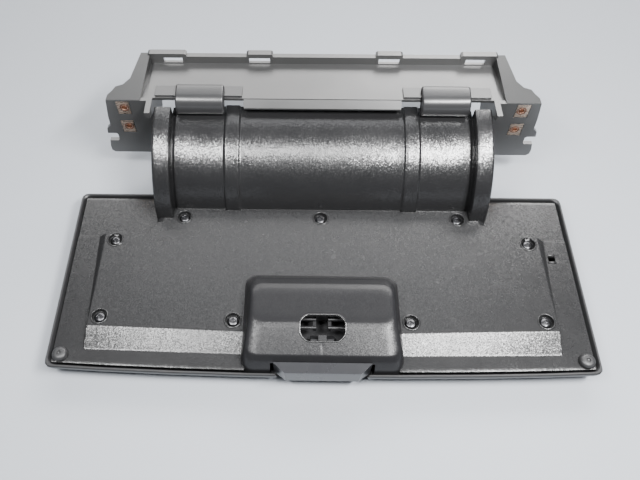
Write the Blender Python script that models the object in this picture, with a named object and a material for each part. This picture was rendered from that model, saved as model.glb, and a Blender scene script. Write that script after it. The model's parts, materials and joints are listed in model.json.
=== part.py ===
"""Glove box lid with its hinge bracket, lying on its outer face with the lid fully open.

Lengths below are millimetres in the hinge frame: x to the right, y back from the hinge axis, z up from
the surface that the lid lies on. place() turns them into metres about the middle of the whole object.
"""

from math import cos, pi, radians, sin

import bmesh
import bpy
from mathutils import Matrix, Vector

MM = 0.001
GAP = 0.3

# Hinge and overall limits
AXIS_Z = 10.0
FRONT_Y = -208.6
BACK_Y = 46.0
MIDDLE_Y = (FRONT_Y + BACK_Y) / 2

# Lid
LID_HALF = 202.2
LID_TAPER = 2.1
LID_BACK = -44.7
LID_FRONT_SIDE = -202.0
LID_FRONT_MIDDLE = -206.8
LID_CORNER = 5.0
RIM_Z = 19.0
SKIN = 2.5
RIM = 2.2
PANEL_GAP = 4.3
MARGIN_Z = 18.0
FIELD_Z = 24.0
WALL = 2.5

# Drum about the hinge axis
DRUM_HALF = 136.0
DRUM_R = 64.5
INNER_BAND_R = 66.0
END_BAND_R = 74.0
INNER_BAND = (66.5, 79.0)
END_BAND = (122.2, DRUM_HALF)
LIP_HALF = 63.5

# Bracket
FLOOR_TOP = 88.0
FLOOR = 2.5
FLOOR_FRONT = 0.0
BACK_WALL = (41.0, 43.5)
WALL_FLANGE_Y = BACK_Y
SIDE_PLATE = (137.4, 140.6)
RAIL_OUT = 141.8
CHEEK = (-3.0, 0.6)
NUT_WEB = (-1.4, 0.6)
HOOK = (79.4, 118.4)
EYE_R = 8.5

# Hinge pins
PIN_R = 3.0
BUSH_BORE_R = 3.05
BUSH_R = 5.0

# Screws, bumpers, latch
SCREWS = [(0, -72), (112.7, -72), (166.5, -95), (167, -163.5), (66.5, -165.5)]
SCREW_WELL_R = 5.5
SCREW_SEAT_Z = 20.5
BUMPER = (191.8, -192.5)
PIVOT_Y, PIVOT_Z = -187.0, 14.0
ARM_REACH = 12.0
NUTS = [(162.0, 79.2), (162.6, 57.8)]

for old in list(bpy.data.objects):
    bpy.data.objects.remove(old, do_unlink=True)

parts = bpy.data.collections.new("glove_box_lid")
bpy.context.scene.collection.children.link(parts)


def place(x, y, z):
    return Vector((x * MM, (y - MIDDLE_Y) * MM, z * MM))


def material(name, colour, roughness, metallic=0.0):
    made = bpy.data.materials.new(name)
    made.use_nodes = True
    shader = made.node_tree.nodes["Principled BSDF"]
    shader.inputs["Base Color"].default_value = (*colour, 1)
    shader.inputs["Roughness"].default_value = roughness
    shader.inputs["Metallic"].default_value = metallic
    return made


BLACK_PLASTIC = material("bracket_plastic", (0.035, 0.036, 0.038), 0.45)
PANEL_PLASTIC = material("panel_plastic", (0.03, 0.031, 0.033), 0.5)
DRUM_PLASTIC = material("drum_plastic", (0.028, 0.029, 0.031), 0.38)
SKIN_PLASTIC = material("skin_plastic", (0.04, 0.04, 0.042), 0.6)
HANDLE_PLASTIC = material("handle_plastic", (0.045, 0.046, 0.05), 0.35)
RUBBER = material("bumper_rubber", (0.12, 0.12, 0.125), 0.8)
STEEL = material("screw_steel", (0.2, 0.2, 0.21), 0.35, 1.0)
COPPER = material("clip_nut_copper", (0.72, 0.4, 0.26), 0.35, 1.0)
ACETAL = material("bush_acetal", (0.8, 0.79, 0.75), 0.5)


def new_object(name, mesh):
    made = bpy.data.objects.new(name, mesh)
    parts.objects.link(made)
    return made


# ---------------------------------------------------------------- shapes


def loft(name, rings):
    """A closed solid through rings of the same number of points, flat at both ends."""
    bm = bmesh.new()
    loops = [[bm.verts.new(place(*point)) for point in ring] for ring in rings]
    count = len(rings[0])
    for low, high in zip(loops, loops[1:]):
        for i in range(count):
            j = (i + 1) % count
            bm.faces.new((low[i], low[j], high[j], high[i]))
    bm.faces.new(reversed(loops[0]))
    bm.faces.new(loops[-1])
    bmesh.ops.recalc_face_normals(bm, faces=bm.faces)
    mesh = bpy.data.meshes.new(name)
    bm.to_mesh(mesh)
    bm.free()
    return new_object(name, mesh)


def level(outline, z):
    return [(x, y, z) for x, y in outline]


def plate_z(name, outline, low, high):
    """An outline in x and y, from low to high."""
    return loft(name, [level(outline, low), level(outline, high)])


def plate_x(name, outline, low, high):
    """An outline in y and z, from low to high along x."""
    return loft(name, [[(x, y, z) for y, z in outline] for x in (low, high)])


def plate_y(name, outline, low, high):
    """An outline in x and z, from low to high along y."""
    return loft(name, [[(x, y, z) for x, z in outline] for y in (low, high)])


def box(name, x, y, z):
    bm = bmesh.new()
    bmesh.ops.create_cube(bm, size=1)
    low, high = place(x[0], y[0], z[0]), place(x[1], y[1], z[1])
    size = high - low
    bmesh.ops.scale(bm, vec=size, verts=bm.verts)
    bmesh.ops.translate(bm, vec=(low + high) / 2, verts=bm.verts)
    mesh = bpy.data.meshes.new(name)
    bm.to_mesh(mesh)
    bm.free()
    return new_object(name, mesh)


def cylinder(name, centre, radius, length, axis="Z", sides=24, top_radius=None):
    """A cylinder or cone whose axis runs through centre, length along +axis from it."""
    bm = bmesh.new()
    bmesh.ops.create_cone(
        bm, cap_ends=True, segments=sides, radius1=radius * MM,
        radius2=(radius if top_radius is None else top_radius) * MM, depth=length * MM,
    )
    turn = {"X": Matrix.Rotation(pi / 2, 4, "Y"), "Y": Matrix.Rotation(-pi / 2, 4, "X"), "Z": Matrix()}[axis]
    step = {"X": Vector((1, 0, 0)), "Y": Vector((0, 1, 0)), "Z": Vector((0, 0, 1))}[axis]
    bmesh.ops.transform(bm, matrix=turn, verts=bm.verts)
    bmesh.ops.translate(bm, vec=place(*centre) + step * length * MM / 2, verts=bm.verts)
    mesh = bpy.data.meshes.new(name)
    bm.to_mesh(mesh)
    bm.free()
    return new_object(name, mesh)


def rounded(corners, radius, steps=3):
    """The corners' outline with each corner turned into an arc. radius is one number or one per corner."""
    radii = radius if isinstance(radius, (list, tuple)) else [radius] * len(corners)
    outline = []
    for i, corner in enumerate(corners):
        here = Vector(corner)
        before = (Vector(corners[i - 1]) - here).normalized()
        after = (Vector(corners[(i + 1) % len(corners)]) - here).normalized()
        half = before.angle(after) / 2
        run = radii[i] / max(abs(sin(half) / cos(half)), 1e-6)
        centre = here + (before + after).normalized() * (radii[i] / sin(half))
        start, end = here + before * run - centre, here + after * run - centre
        sweep = start.angle_signed(end)
        for k in range(steps + 1):
            turn = -sweep * k / steps
            outline.append(tuple(centre + Matrix.Rotation(turn, 2) @ start))
    return outline


def arc(radius, first, last, steps):
    """Points in y and z about the hinge axis. 0 degrees looks to the front, and 90 straight up."""
    angles = [radians(first + (last - first) * i / steps) for i in range(steps + 1)]
    return [(-radius * cos(a), AXIS_Z + radius * sin(a)) for a in angles]


def shell(name, inner, outer, first, last, low, high):
    steps = max(int(abs(last - first) / 5), 1)
    outline = arc(outer, first, last, steps) + arc(inner, last, first, steps)
    return plate_x(name, outline, low, high)


def apply_boolean(base, others, operation):
    for other in others:
        cut = base.modifiers.new(operation, "BOOLEAN")
        cut.operation = operation
        cut.solver = "EXACT"
        cut.object = other
        graph = bpy.context.evaluated_depsgraph_get()
        mesh = bpy.data.meshes.new_from_object(base.evaluated_get(graph))
        base.modifiers.clear()
        base.data = mesh
        bpy.data.objects.remove(other, do_unlink=True)
    return base


def join(base, *others):
    return apply_boolean(base, others, "UNION")


def cut(base, *others):
    return apply_boolean(base, others, "DIFFERENCE")


def finish(piece, finish_material, name=None):
    if name:
        piece.name = name
    piece.data.materials.clear()
    piece.data.materials.append(finish_material)
    piece.data.shade_smooth()
    piece.data.set_sharp_from_angle(angle=radians(30))
    return piece


def both(x_range):
    """The range on the right, and its mirror on the left."""
    low, high = x_range
    return [(low, high), (-high, -low)]


def sides(points):
    """Each point on the right and on the left, and one on the centre line once."""
    return [(s * x, y) for x, y in points for s in ((1, -1) if x else (1,))]


# ---------------------------------------------------------------- outer skin


def lid_outline(inset, steps=3, back_inset=None):
    """The lid's outline, moved in by inset. Its front edge is bowed, and it is wider at the rear by LID_TAPER."""
    half = LID_HALF - inset
    back = LID_BACK - (inset if back_inset is None else back_inset)
    bow = [half * f for f in (-0.8, -0.55, -0.28, 0, 0.28, 0.55, 0.8)]
    side = LID_FRONT_SIDE + inset
    depth = LID_FRONT_MIDDLE - LID_FRONT_SIDE
    corner = max(LID_CORNER - inset, 1.0) if back_inset is None else LID_CORNER + 0.3 * inset
    rear = half + LID_TAPER
    ends = rounded([(-half, side), (half, side), (rear, back), (-rear, back)], corner, steps)
    first, rest = ends[: steps + 1], ends[steps + 1:]
    return first + [(x, side + depth * (1 - (x / half) ** 2)) for x in bow] + rest


# Rings of the skin from its foot up to the rim and down inside: inset, inset at the rear, height.
SKIN_RINGS = [
    (18, 5, 0), (11, 1.5, 1.6), (6, 0.6, 4.6), (2.6, 0.3, 8.8), (0.8, 0, 13), (0, 0, 16.5), (0, 0, RIM_Z - 0.8),
    (0.6, 0.6, RIM_Z), (RIM - 0.6, RIM - 0.6, RIM_Z), (RIM, RIM, RIM_Z - 0.8), (3, 2.4, 14), (5.2, 2.6, 10.2),
    (8.6, 2.8, 6.9), (13.3, 3, 4.3), (19.5, 3.2, SKIN),
]
SPRING_Y, SPRING_SEAT_Z = -194.0, 6.6
# The handle swings down and forward through this notch.
HANDLE_NOTCH = [(-37.5, -198), (-37.5, -202), (-27, -212), (27, -212), (37.5, -202), (37.5, -198)]


def outer_skin():
    skin = loft("outer_skin", [level(lid_outline(inset, 3, rear), z) for inset, rear, z in SKIN_RINGS])
    bosses = [cylinder("boss", (x, y, SKIN - 1), 5.0, 10.2, sides=12) for x, y in sides(SCREWS)]
    bosses += [cylinder("boss", (x, y, SKIN - 1), 4.5, 7.2, sides=12) for x, y in sides(HOUSING_SCREWS)]
    bosses.append(cylinder("boss", (0, SPRING_Y, SKIN - 1), 4.8, SPRING_SEAT_Z - SKIN + 1, sides=16))
    join(skin, *bosses)
    holes = [cylinder("hole", (x, y, 3.6), 2.3, 20, sides=12) for x, y in sides(SCREWS + HOUSING_SCREWS)]
    cut(skin, plate_z("notch", HANDLE_NOTCH, 6.5, 30), *holes)
    return finish(skin, SKIN_PLASTIC)


# ---------------------------------------------------------------- inner panel


def field_corners(grow):
    """The raised field's outline. grow moves its flanks out from the top edge to the foot."""
    side, front, rear = 175 + 0.6 * grow, -171.2 - 16.3 * grow, -89 + 1.5 * grow
    front_middle, rear_side = -174.6 - 15.5 * grow, 175 + 6.5 * grow
    inner = DRUM_HALF - 0.5
    corners = [(-side, front), (-60, front_middle), (60, front_middle), (side, front), (rear_side, rear)]
    corners += [(inner + 6, rear), (inner, rear + 10), (inner, -40), (-inner, -40), (-inner, rear + 10)]
    corners += [(-inner - 6, rear), (-rear_side, rear)]
    return corners


def field(name, top, low, inset):
    """The raised field as a solid from its foot at low up to top."""
    radii = [1.5, 3, 3, 1.5, 3, 3, 3, 0.5, 0.5, 3, 3, 3]
    rings = []
    for grow, z in ((1, low), (1, MARGIN_Z - inset), (0, top)):
        outline = rounded(field_corners(grow), radii)
        if inset:
            outline = [
                (x - inset * (1 if x > 0 else -1), y + inset * (1 if y < -120 else -1)) for x, y in outline
            ]
        rings.append(level(outline, z))
    return loft(name, rings)


BUMP_RINGS = [
    # half width, back, front, height
    (59.5, -125.5, -203.6, 14),
    (59.5, -126, -203.4, 19),
    (58.8, -126.8, -201.8, 23),
    (57.6, -128.8, -199.2, 28),
    (56.2, -131.2, -196.2, 31.6),
    (54.6, -136, -185, 36),
    (53, -142, -177, 39.1),
    (51.5, -146, -174, 40),
]


def bump(name, inset, low):
    """The latch bump from low up. Its front falls in a long round slope."""
    rings = []
    for i, (half, back, front, z) in enumerate(BUMP_RINGS):
        corners = [(-half, front), (half, front), (half, back), (-half, back)]
        corners = [
            (x - inset * (1 if x > 0 else -1), y + inset * (1 if y < -150 else -1)) for x, y in corners
        ]
        rings.append(level(rounded(corners, 9 - inset, 4), low if i == 0 else z - inset))
    return loft(name, rings)


WINDOW_HALF, WINDOW_Y, WINDOW_CUT = 16.0, (-186.4, -168.3), 4.5


def window_outline(grow=0.0):
    w, (front, back), c = WINDOW_HALF + grow, WINDOW_Y, WINDOW_CUT
    front, back = front - grow, back + grow
    return [(-w + c, front), (w - c, front), (w, front + c), (w, back - c), (w - c, back), (-w + c, back),
            (-w, back - c), (-w, front + c)]


def drum_clearance():
    """The drum's outside grown by the gap, which the panel is cut to."""
    middle = cylinder("clear", (-DRUM_HALF - GAP, 0, AXIS_Z), DRUM_R + GAP, 2 * (DRUM_HALF + GAP), "X", 60)
    bands = []
    for radius, (low, high) in ((INNER_BAND_R, INNER_BAND), (END_BAND_R, END_BAND)):
        for start, end in both((low - GAP, high + GAP)):
            bands.append(cylinder("clear", (start, 0, AXIS_Z), radius + GAP, end - start, "X", 60))
    return [middle, *bands]


SLOT_X, SLOT_Y, SLOT_RIBS = (182.4, 188.0), (-107.6, -103.2), (-102.2, -108.6)


def inner_panel():
    base = plate_z("inner_panel", lid_outline(PANEL_GAP), MARGIN_Z - WALL, MARGIN_Z)
    join(base, field("field", FIELD_Z, MARGIN_Z - WALL + 0.4, 0), bump("bump", 0, MARGIN_Z - WALL + 0.8))
    cut(base, field("field_hollow", FIELD_Z - WALL, 5, WALL), bump("bump_hollow", WALL, 5))
    wells = [cylinder("well", (x, y, 12), 8.0, FIELD_Z - 12.6, sides=12) for x, y in sides(SCREWS)]
    ribs = [box("rib", SLOT_X, (y - 0.9, y + 0.9), (MARGIN_Z - 1, MARGIN_Z + 1)) for y in SLOT_RIBS]
    lips = [cylinder("lip", (x, y, FIELD_Z - 1), 6.8, 1.6, sides=16) for x, y in sides(SCREWS)]
    join(base, *wells, *lips, *ribs)
    cut(base, *drum_clearance())
    recesses = [cylinder("recess", (x, y, SCREW_SEAT_Z), SCREW_WELL_R, 9, sides=16) for x, y in sides(SCREWS)]
    holes = [cylinder("hole", (x, y, 8), 2.6, 20, sides=12) for x, y in sides(SCREWS)]
    stems = [cylinder("hole", (x, y, 8), 2.8, 20, sides=12) for x, y in sides([BUMPER])]
    slot = box("slot", SLOT_X, SLOT_Y, (5, 30))
    window = plate_z("window", window_outline(), 26, 50)
    handle_notch = box("notch", (-37.5, 37.5), (-215, -200), (5, 31))
    arm_slot = box("slot", (-8.5, 8.5), (-206, -194), (5, 19.5))
    cut(base, *recesses, *holes, *stems, slot, window, handle_notch, arm_slot)
    return finish(base, PANEL_PLASTIC)


# ---------------------------------------------------------------- drum


def drum():
    foot, top, end_top = -6.0, 94.0, 85.5
    body = shell("drum", DRUM_R - WALL, DRUM_R, foot, top, -END_BAND[0] - 1, END_BAND[0] + 1)
    tongue = shell("tongue", DRUM_R - WALL + 0.3, DRUM_R - 0.2, top - 8, 95.5, 0.8 - LIP_HALF, LIP_HALF - 0.8)
    flange = box("flange", (-58, 58), (3.2, 5.4), (AXIS_Z + 62.9, AXIS_Z + 72))
    pieces = [tongue, flange]
    for start, end in both(INNER_BAND):
        pieces.append(shell("band", DRUM_R - 1.5, INNER_BAND_R, foot + 0.7, top + 0.4, start, end))
    for start, end in both(END_BAND):
        outside = end if end > 0 else start
        inside = start if end > 0 else end
        out = 1 if end > 0 else -1
        pieces.append(shell("band", END_BAND_R - WALL, END_BAND_R, foot + 1, end_top, start, end))
        step = (inside, inside + out * WALL)
        radii = (DRUM_R - 1.2, END_BAND_R - 1.2)
        pieces.append(shell("step", *radii, foot + 0.4, end_top - 0.4, min(step), max(step)))
        wall = (outside - out * 0.4, outside - out * 3.0)
        reach = [(y, z) for y, z in arc(END_BAND_R - 1, foot + 1.7, end_top - 0.8, 18)]
        eye = [(EYE_R * cos(a), AXIS_Z + EYE_R * sin(a)) for a in [radians(20 - 20 * i) for i in range(11)]]
        outline = reach + eye + [(-12, AXIS_Z + 11), (-52, AXIS_Z + 11), (-52, AXIS_Z - 5.5)]
        pieces.append(plate_x("wall", outline, min(wall), max(wall)))
    join(body, *pieces)
    bores = [cylinder("bore", (start, 0, AXIS_Z), BUSH_R + GAP, 20, "X", 32) for start in (128, -148)]
    return finish(cut(body, *bores), DRUM_PLASTIC)


# ---------------------------------------------------------------- hinge bushes and pins


def hinge_side(side):
    """The bush in the drum's end wall, and the pin that the side plate holds."""
    inner, outer = DRUM_HALF - 4.2, DRUM_HALF + 0.1
    bush = cylinder("hinge_bush", (inner, 0, AXIS_Z), BUSH_R, outer - inner, "X", 32)
    flange = cylinder("flange", (inner - 1, 0, AXIS_Z), 7.5, 1.5, "X", 32)
    cut(join(bush, flange), cylinder("bore", (inner - 5, 0, AXIS_Z), BUSH_BORE_R, 20, "X", 32))
    pin = cylinder("hinge_pin", (DRUM_HALF - 6.5, 0, AXIS_Z), PIN_R, 16, "X", 32)
    join(pin, cylinder("head", (SIDE_PLATE[1] + GAP, 0, AXIS_Z), 6.0, 2.5, "X", 32))
    for piece, finish_material in ((bush, ACETAL), (pin, STEEL)):
        if side < 0:
            piece.data.transform(Matrix.Scale(-1, 4, (1, 0, 0)))
            piece.data.flip_normals()
        word = "right" if side > 0 else "left"
        finish(piece, finish_material, f"{piece.name.split('.')[0]}_{word}")


# ---------------------------------------------------------------- dash bracket


def cheek_outline(out):
    """The upright cheek in x and z, with its open slot and the small tab above it."""
    edge = [(139, 25.5), (181.5, 25.5), (183.8, 28), (183.8, 33), (182.5, 40.2), (175, 40.2), (173.8, 42)]
    edge += [(173.8, 48), (175, 49.2), (182.3, 49.5), (181.5, 55), (177.8, 58.5), (177.2, 70)]
    edge += [(174.8, FLOOR_TOP - 0.4), (139, FLOOR_TOP - 0.4)]
    return [(out * x, z) for x, z in edge]


def rise(y):
    """Height of the shoulder's slope over the floor, from nothing at the front to 9 at the back wall."""
    return 9 * (y - CHEEK[0]) / (BACK_WALL[1] - CHEEK[0])


def shoulder(out):
    """The sloping top of the cheek with the upright wall along its inner edge."""
    steps = [
        (147, -2.7), (174.6, -2.7), (174, 2), (170.6, 6), (168.3, 10), (162.5, 12), (157.2, 18), (154, 31),
    ]
    steps += [(150.9, 43.2), (143.3, 43.2)]
    top = loft(
        "shoulder", [[(out * x, y, FLOOR_TOP - lift + rise(y)) for x, y in steps] for lift in (2.6, 0)]
    )
    foot = [(147.3, -2.2), (149.9, -2.2), (146.2, 43), (143.6, 43)]
    low = [(out * x, y, 83.5) for x, y in foot]
    high = [(out * x, y, FLOOR_TOP + rise(y) - 1) for x, y in foot]
    gutter = box("gutter", sorted((out * 139.6, out * 148)), (-2.4, 42.4), (83.8, 86.2))
    return join(top, loft("wall", [low, high]), gutter)


def side_wall(out):
    """The side plate with its hinge eye, up to the rail beside the floor."""
    eye = [(EYE_R * cos(a), AXIS_Z + EYE_R * sin(a)) for a in [radians(-180 + 20 * i) for i in range(10)]]
    outline = [(-17, FLOOR_TOP), (-17, 82.5), (-5, 78), (-5, 40)] + eye
    outline += [(9, 40), (42, 78), (42, FLOOR_TOP)]
    plate = plate_x("side", outline, *sorted(out * value for value in SIDE_PLATE))
    rail_x = sorted(out * v for v in (SIDE_PLATE[0] + 0.6, RAIL_OUT))
    rail = box("rail", rail_x, (-16.7, 42.3), (82.9, FLOOR_TOP - 0.2))
    return join(plate, rail)


# Start and end of each loop, and of the window through it.
LOOPS = [
    (-145.1, -113, -132.5, -116.6),
    (-62.8, -41.1, -61, -43.5),
    (44.5, 66.6, 47, 64.6),
    (114.6, 145, 119, 135.5),
]


def back_wall():
    """The wall behind the floor. Its top turns back in a flange, and each loop stands above it."""
    low, high, top = FLOOR_TOP - FLOOR + 0.4, FLOOR_TOP + 7, FLOOR_TOP + 10
    wall = box("back", (-148, 148), BACK_WALL, (low, high))
    flange = box("flange", (-147.6, 147.6), (BACK_WALL[0] + 0.5, WALL_FLANGE_Y - 0.2), (high - 2.6, high - 0.3))
    join(wall, flange)
    for start, end, _, _ in LOOPS:
        outline = [(start, high - 3), (end, high - 3), (end, top - 1)]
        outline += [(end - 1.5, top), (start + 1.5, top), (start, top - 1)]
        join(wall, plate_y("loop", outline, BACK_WALL[0] - 0.4, WALL_FLANGE_Y))
    windows = [box("window", (a, b), (35, 50), (FLOOR_TOP + 0.8, FLOOR_TOP + 6.0)) for _, _, a, b in LOOPS]
    return cut(wall, *windows)


# The lip slopes down in front of the floor, and its rear leaf is the stop for the drum's flange.
LIP = [(2.4, 87.4), (0.2, 87.4), (-5, 82.2), (-5, 80.8), (-4, 80), (0.2, 80), (0.2, 76.3), (2.4, 76.3)]


def dash_bracket():
    floor = box("dash_bracket", (-140.4, 140.4), (FLOOR_FRONT, 42.4), (FLOOR_TOP - FLOOR, FLOOR_TOP))
    lip = plate_x("lip", LIP, -LIP_HALF, LIP_HALF)
    join(floor, lip, back_wall())
    for out in (1, -1):
        cheek = plate_y("cheek", cheek_outline(out), *CHEEK)
        join(floor, side_wall(out), cheek, shoulder(out))
    bores = [cylinder("bore", (start, 0, AXIS_Z), PIN_R + GAP, 20, "X", 32) for start in (130, -150)]
    openings = []
    for x, z in sides(NUTS):
        out = 1 if x > 0 else -1
        openings.append(box("slot", sorted((x + out * 3.6, x + out * 5.8)), (-10, 10), (z - 7.2, z + 7.2)))
        pocket_x = sorted((x - out * 5.6, x + out * 5.6))
        openings.append(box("pocket", pocket_x, (-10, NUT_WEB[0]), (z - 7.2, z + 7.2)))
        openings.append(cylinder("hole", (x - out * 0.6, -10, z), 3.0, 20, "Y", 16))
    pegs = [cylinder("peg", (x, 5, 80), 2.8, 20, sides=16) for x in HOOK_PEGS]
    cut(floor, *bores, *openings, *pegs)
    return finish(floor, BLACK_PLASTIC)


HOOK_PEGS = (-107, -90, 90, 107)


def guide_hook(side):
    """A hook that reaches over the floor's edge, down to the drum."""
    z = FLOOR_TOP + GAP
    nose = [(-6, 76), (-8.2, 78.5), (-8.6, 84), (-7.4, 88.5), (-4.5, 91.5), (0, 93)]
    outline = [(10, z), (FLOOR_FRONT - 1, z), (FLOOR_FRONT - 1, 76), *nose, (9, 94), (10, 93.2)]
    hook = plate_x("guide_hook", outline, *HOOK)
    base = box("base", (65, 135.6), (FLOOR_FRONT + 1.5, 12.5), (z, z + 1.2))
    pegs = [cylinder("peg", (x, 5, 83.2), 2.4, 8, sides=16) for x in HOOK_PEGS if x > 0]
    join(hook, base, *pegs)
    if side < 0:
        hook.data.transform(Matrix.Scale(-1, 4, (1, 0, 0)))
        hook.data.flip_normals()
    return finish(hook, BLACK_PLASTIC, "guide_hook_right" if side > 0 else "guide_hook_left")


def clip_nuts():
    """U-shaped sheet nuts, each in a pocket of the cheek, flush with its face and closed round its web."""
    sheet = 1.0
    for (x, z), level_word in zip(sides(NUTS), ("upper", "upper", "lower", "lower")):
        out = 1 if x > 0 else -1
        reach, middle = sorted((x - out * 5.0, x + out * 5.2)), x - out * 0.6
        front = box("nut", reach, (NUT_WEB[0] - GAP - sheet, NUT_WEB[0] - GAP), (z - 6.7, z + 6.7))
        back = box("leaf", reach, (NUT_WEB[1] + GAP, NUT_WEB[1] + GAP + sheet), (z - 6.5, z + 6.5))
        bend_x = sorted((x + out * 4.1, x + out * 5.0))
        bend = box("bend", bend_x, (NUT_WEB[0] - 1, NUT_WEB[1] + 1), (z - 6.3, z + 6.3))
        barrel = cylinder("barrel", (middle, NUT_WEB[1] + 0.8, z), 3.6, 4, "Y", 20)
        join(front, back, bend, barrel)
        cut(front, cylinder("thread", (middle, -12, z), 2.5, 24, "Y", 20))
        finish(front, COPPER, f"clip_nut_{level_word}_{'right' if out > 0 else 'left'}")


# ---------------------------------------------------------------- screws and bumpers


def screw(x, y, seat, head_r, shank_r, tip):
    """A pan-head screw with a cross recess."""
    head = cylinder("screw", (x, y, seat), head_r, 2.4, sides=16, top_radius=head_r * 0.78)
    shank = cylinder("shank", (x, y, tip), shank_r, seat - tip + 0.5, sides=8)
    join(head, shank)
    arms = [box("arm", (x - a, x + a), (y - b, y + b), (seat + 1.1, seat + 5)) for a, b in ((0.6, 2.3), (2.3, 0.6))]
    cut(head, join(*arms))
    return head


def panel_screws():
    for count, (x, y) in enumerate(sides(SCREWS), 1):
        finish(screw(x, y, SCREW_SEAT_Z + GAP, 4.3, 2.0, 4.0), STEEL, f"panel_screw_{count}")


HOUSING_SCREWS = [(17.0, -146.0)]


def housing_screws():
    for count, (x, y) in enumerate(sides(HOUSING_SCREWS), 1):
        finish(screw(x, y, 11.8, 3.6, 1.9, 4.0), STEEL, f"housing_screw_{count}")


def bumper(side):
    x, y = side * BUMPER[0], BUMPER[1]
    low = MARGIN_Z + GAP
    rings = [(2.4, low - 6), (2.4, low), (5.6, low), (5.6, low + 2.2)]
    rings += [(5.0, low + 3.4), (3.4, low + 4.2), (1.2, low + 4.5)]
    circle = [(cos(2 * pi * i / 16), sin(2 * pi * i / 16)) for i in range(16)]
    piece = loft("bumper", [[(x + r * c, y + r * s, z) for c, s in circle] for r, z in rings])
    cut(piece, cylinder("dimple", (x + 1.2, y + 0.6, low + 3.7), 1.0, 4, sides=12))
    return finish(piece, RUBBER, "bumper_right" if side > 0 else "bumper_left")


# ---------------------------------------------------------------- latch


def latch_housing():
    """A channel under the window that guides the bolt and carries the handle's pivot pin."""
    base = box("latch_housing", (-22, 22), (-180, -139), (9.2, 11.5))
    rear = box("rear", (-21, 21), (-160, -157.6), (11, 30))
    pieces = [rear]
    for start, end in both((18.4, 21.2)):
        side = [(-192, 9.6), (-156, 9.6), (-156, 31), (-180, 31), (-192, 21)]
        pieces.append(plate_x("cheek", side, start, end))
    for start, end in both((10.2, 18.8)):
        pieces.append(box("shelf", (start, end), (-191, -175.5), (16.9, 18.3)))
    for start, end in both((4.4, 19)):
        pieces.append(cylinder("bar", (start, -172.5, 27.5), 1.3, end - start, "X", 12))
        pieces.append(cylinder("bar", (start, -166.5, 29), 1.3, end - start, "X", 12))
        post = (4.4, 6.8) if start > 0 else (-6.8, -4.4)
        pieces.append(box("post", post, (-173.5, -158), (24, 27.6)))
    join(base, *pieces)
    pin = cylinder("bore", (-30, PIVOT_Y, PIVOT_Z), 1.8 + GAP, 60, "X", 32)
    holes = [cylinder("hole", (x, y, 5), 2.3, 20, sides=12) for x, y in sides(HOUSING_SCREWS)]
    return finish(cut(base, pin, *holes), BLACK_PLASTIC)


def latch_bolt():
    """The bolt slides forward to let go. Its ramped nose points back, under the striker."""
    outline = [(-190.5, 18.7), (-177, 18.7), (-175.5, 20.2), (-181, 26.5), (-187, 26.5), (-190.5, 23.5)]
    bolt = plate_x("latch_bolt", outline, -8.6, 8.6)
    finger = box("finger", (-3.2, 3.2), (-184.0, -179.5), (24.5, 30.5))
    join(bolt, finger)
    fork_sides = [(PIVOT_Y - 2.1, 15), (PIVOT_Y + 5.4, 15), (PIVOT_Y + 2.1, 24.5)]
    fork_sides += [(PIVOT_Y + 2.1, 30), (PIVOT_Y - 2.1, 30)]
    fork = plate_x("fork", fork_sides, -4.2, 4.2)
    return finish(cut(bolt, fork), BLACK_PLASTIC)


def pull_handle():
    """The paddle at the lid's free edge, its arm and the finger that moves the bolt."""
    top = [(-35.5, -200.6), (-27, FRONT_Y), (27, FRONT_Y), (35.5, -200.6)]
    foot = [(-34.5, -202), (-26, FRONT_Y + 0.5), (26, FRONT_Y + 0.5), (34.5, -202)]
    paddle = loft("pull_handle", [level(foot, 14.0), level(top, 27.0), level(top, 30.0)])
    hollow = [(-31.5, -200), (-25, FRONT_Y + 3), (25, FRONT_Y + 3), (31.5, -200)]
    cut(paddle, plate_z("hollow", hollow, 5, 27.4))
    arm = box("arm", (-7, 7), (FRONT_Y + 1.5, PIVOT_Y), (13.0, 17.0))
    hub = cylinder("hub", (-9.6, PIVOT_Y, PIVOT_Z), 3.4, 19.2, "X", 32)
    lever = box("lever", (-3.4, 3.4), (PIVOT_Y - 1.4, PIVOT_Y + 1.4), (PIVOT_Z, PIVOT_Z + ARM_REACH))
    tip = cylinder("tip", (-3.2, PIVOT_Y, PIVOT_Z + ARM_REACH - 0.4), 1.6, 6.4, "X", 16)
    join(paddle, arm, hub, lever, tip)
    return finish(cut(paddle, cylinder("bore", (-20, PIVOT_Y, PIVOT_Z), 1.85, 40, "X", 32)), HANDLE_PLASTIC)


def handle_pivot_pin():
    return finish(cylinder("handle_pivot_pin", (-21.8, PIVOT_Y, PIVOT_Z), 1.8, 43.6, "X", 32), STEEL)


def handle_spring():
    """A compression spring that stands on the skin under the handle's arm."""
    turns, wire, radius = 3, 0.5, 3.2
    low, high = SPRING_SEAT_Z + GAP + wire, 13.0 - GAP - wire
    points_per_turn = 8
    count = turns * points_per_turn
    curve = bpy.data.curves.new("handle_spring", "CURVE")
    curve.dimensions = "3D"
    curve.bevel_depth = wire * MM
    curve.bevel_resolution = 0
    curve.use_fill_caps = True
    spline = curve.splines.new("POLY")
    spline.points.add(count)
    for i, point in enumerate(spline.points):
        turn = 2 * pi * i / points_per_turn
        spot = place(radius * cos(turn), SPRING_Y + radius * sin(turn), low + (high - low) * i / count)
        point.co = (*spot, 1)
    coil = bpy.data.objects.new("handle_spring", curve)
    parts.objects.link(coil)
    mesh = bpy.data.meshes.new_from_object(coil.evaluated_get(bpy.context.evaluated_depsgraph_get()))
    bpy.data.objects.remove(coil, do_unlink=True)
    bm = bmesh.new()
    bm.from_mesh(mesh)
    bmesh.ops.remove_doubles(bm, verts=bm.verts, dist=1e-5)
    bm.to_mesh(mesh)
    bm.free()
    return finish(new_object("handle_spring", mesh), STEEL)


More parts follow.
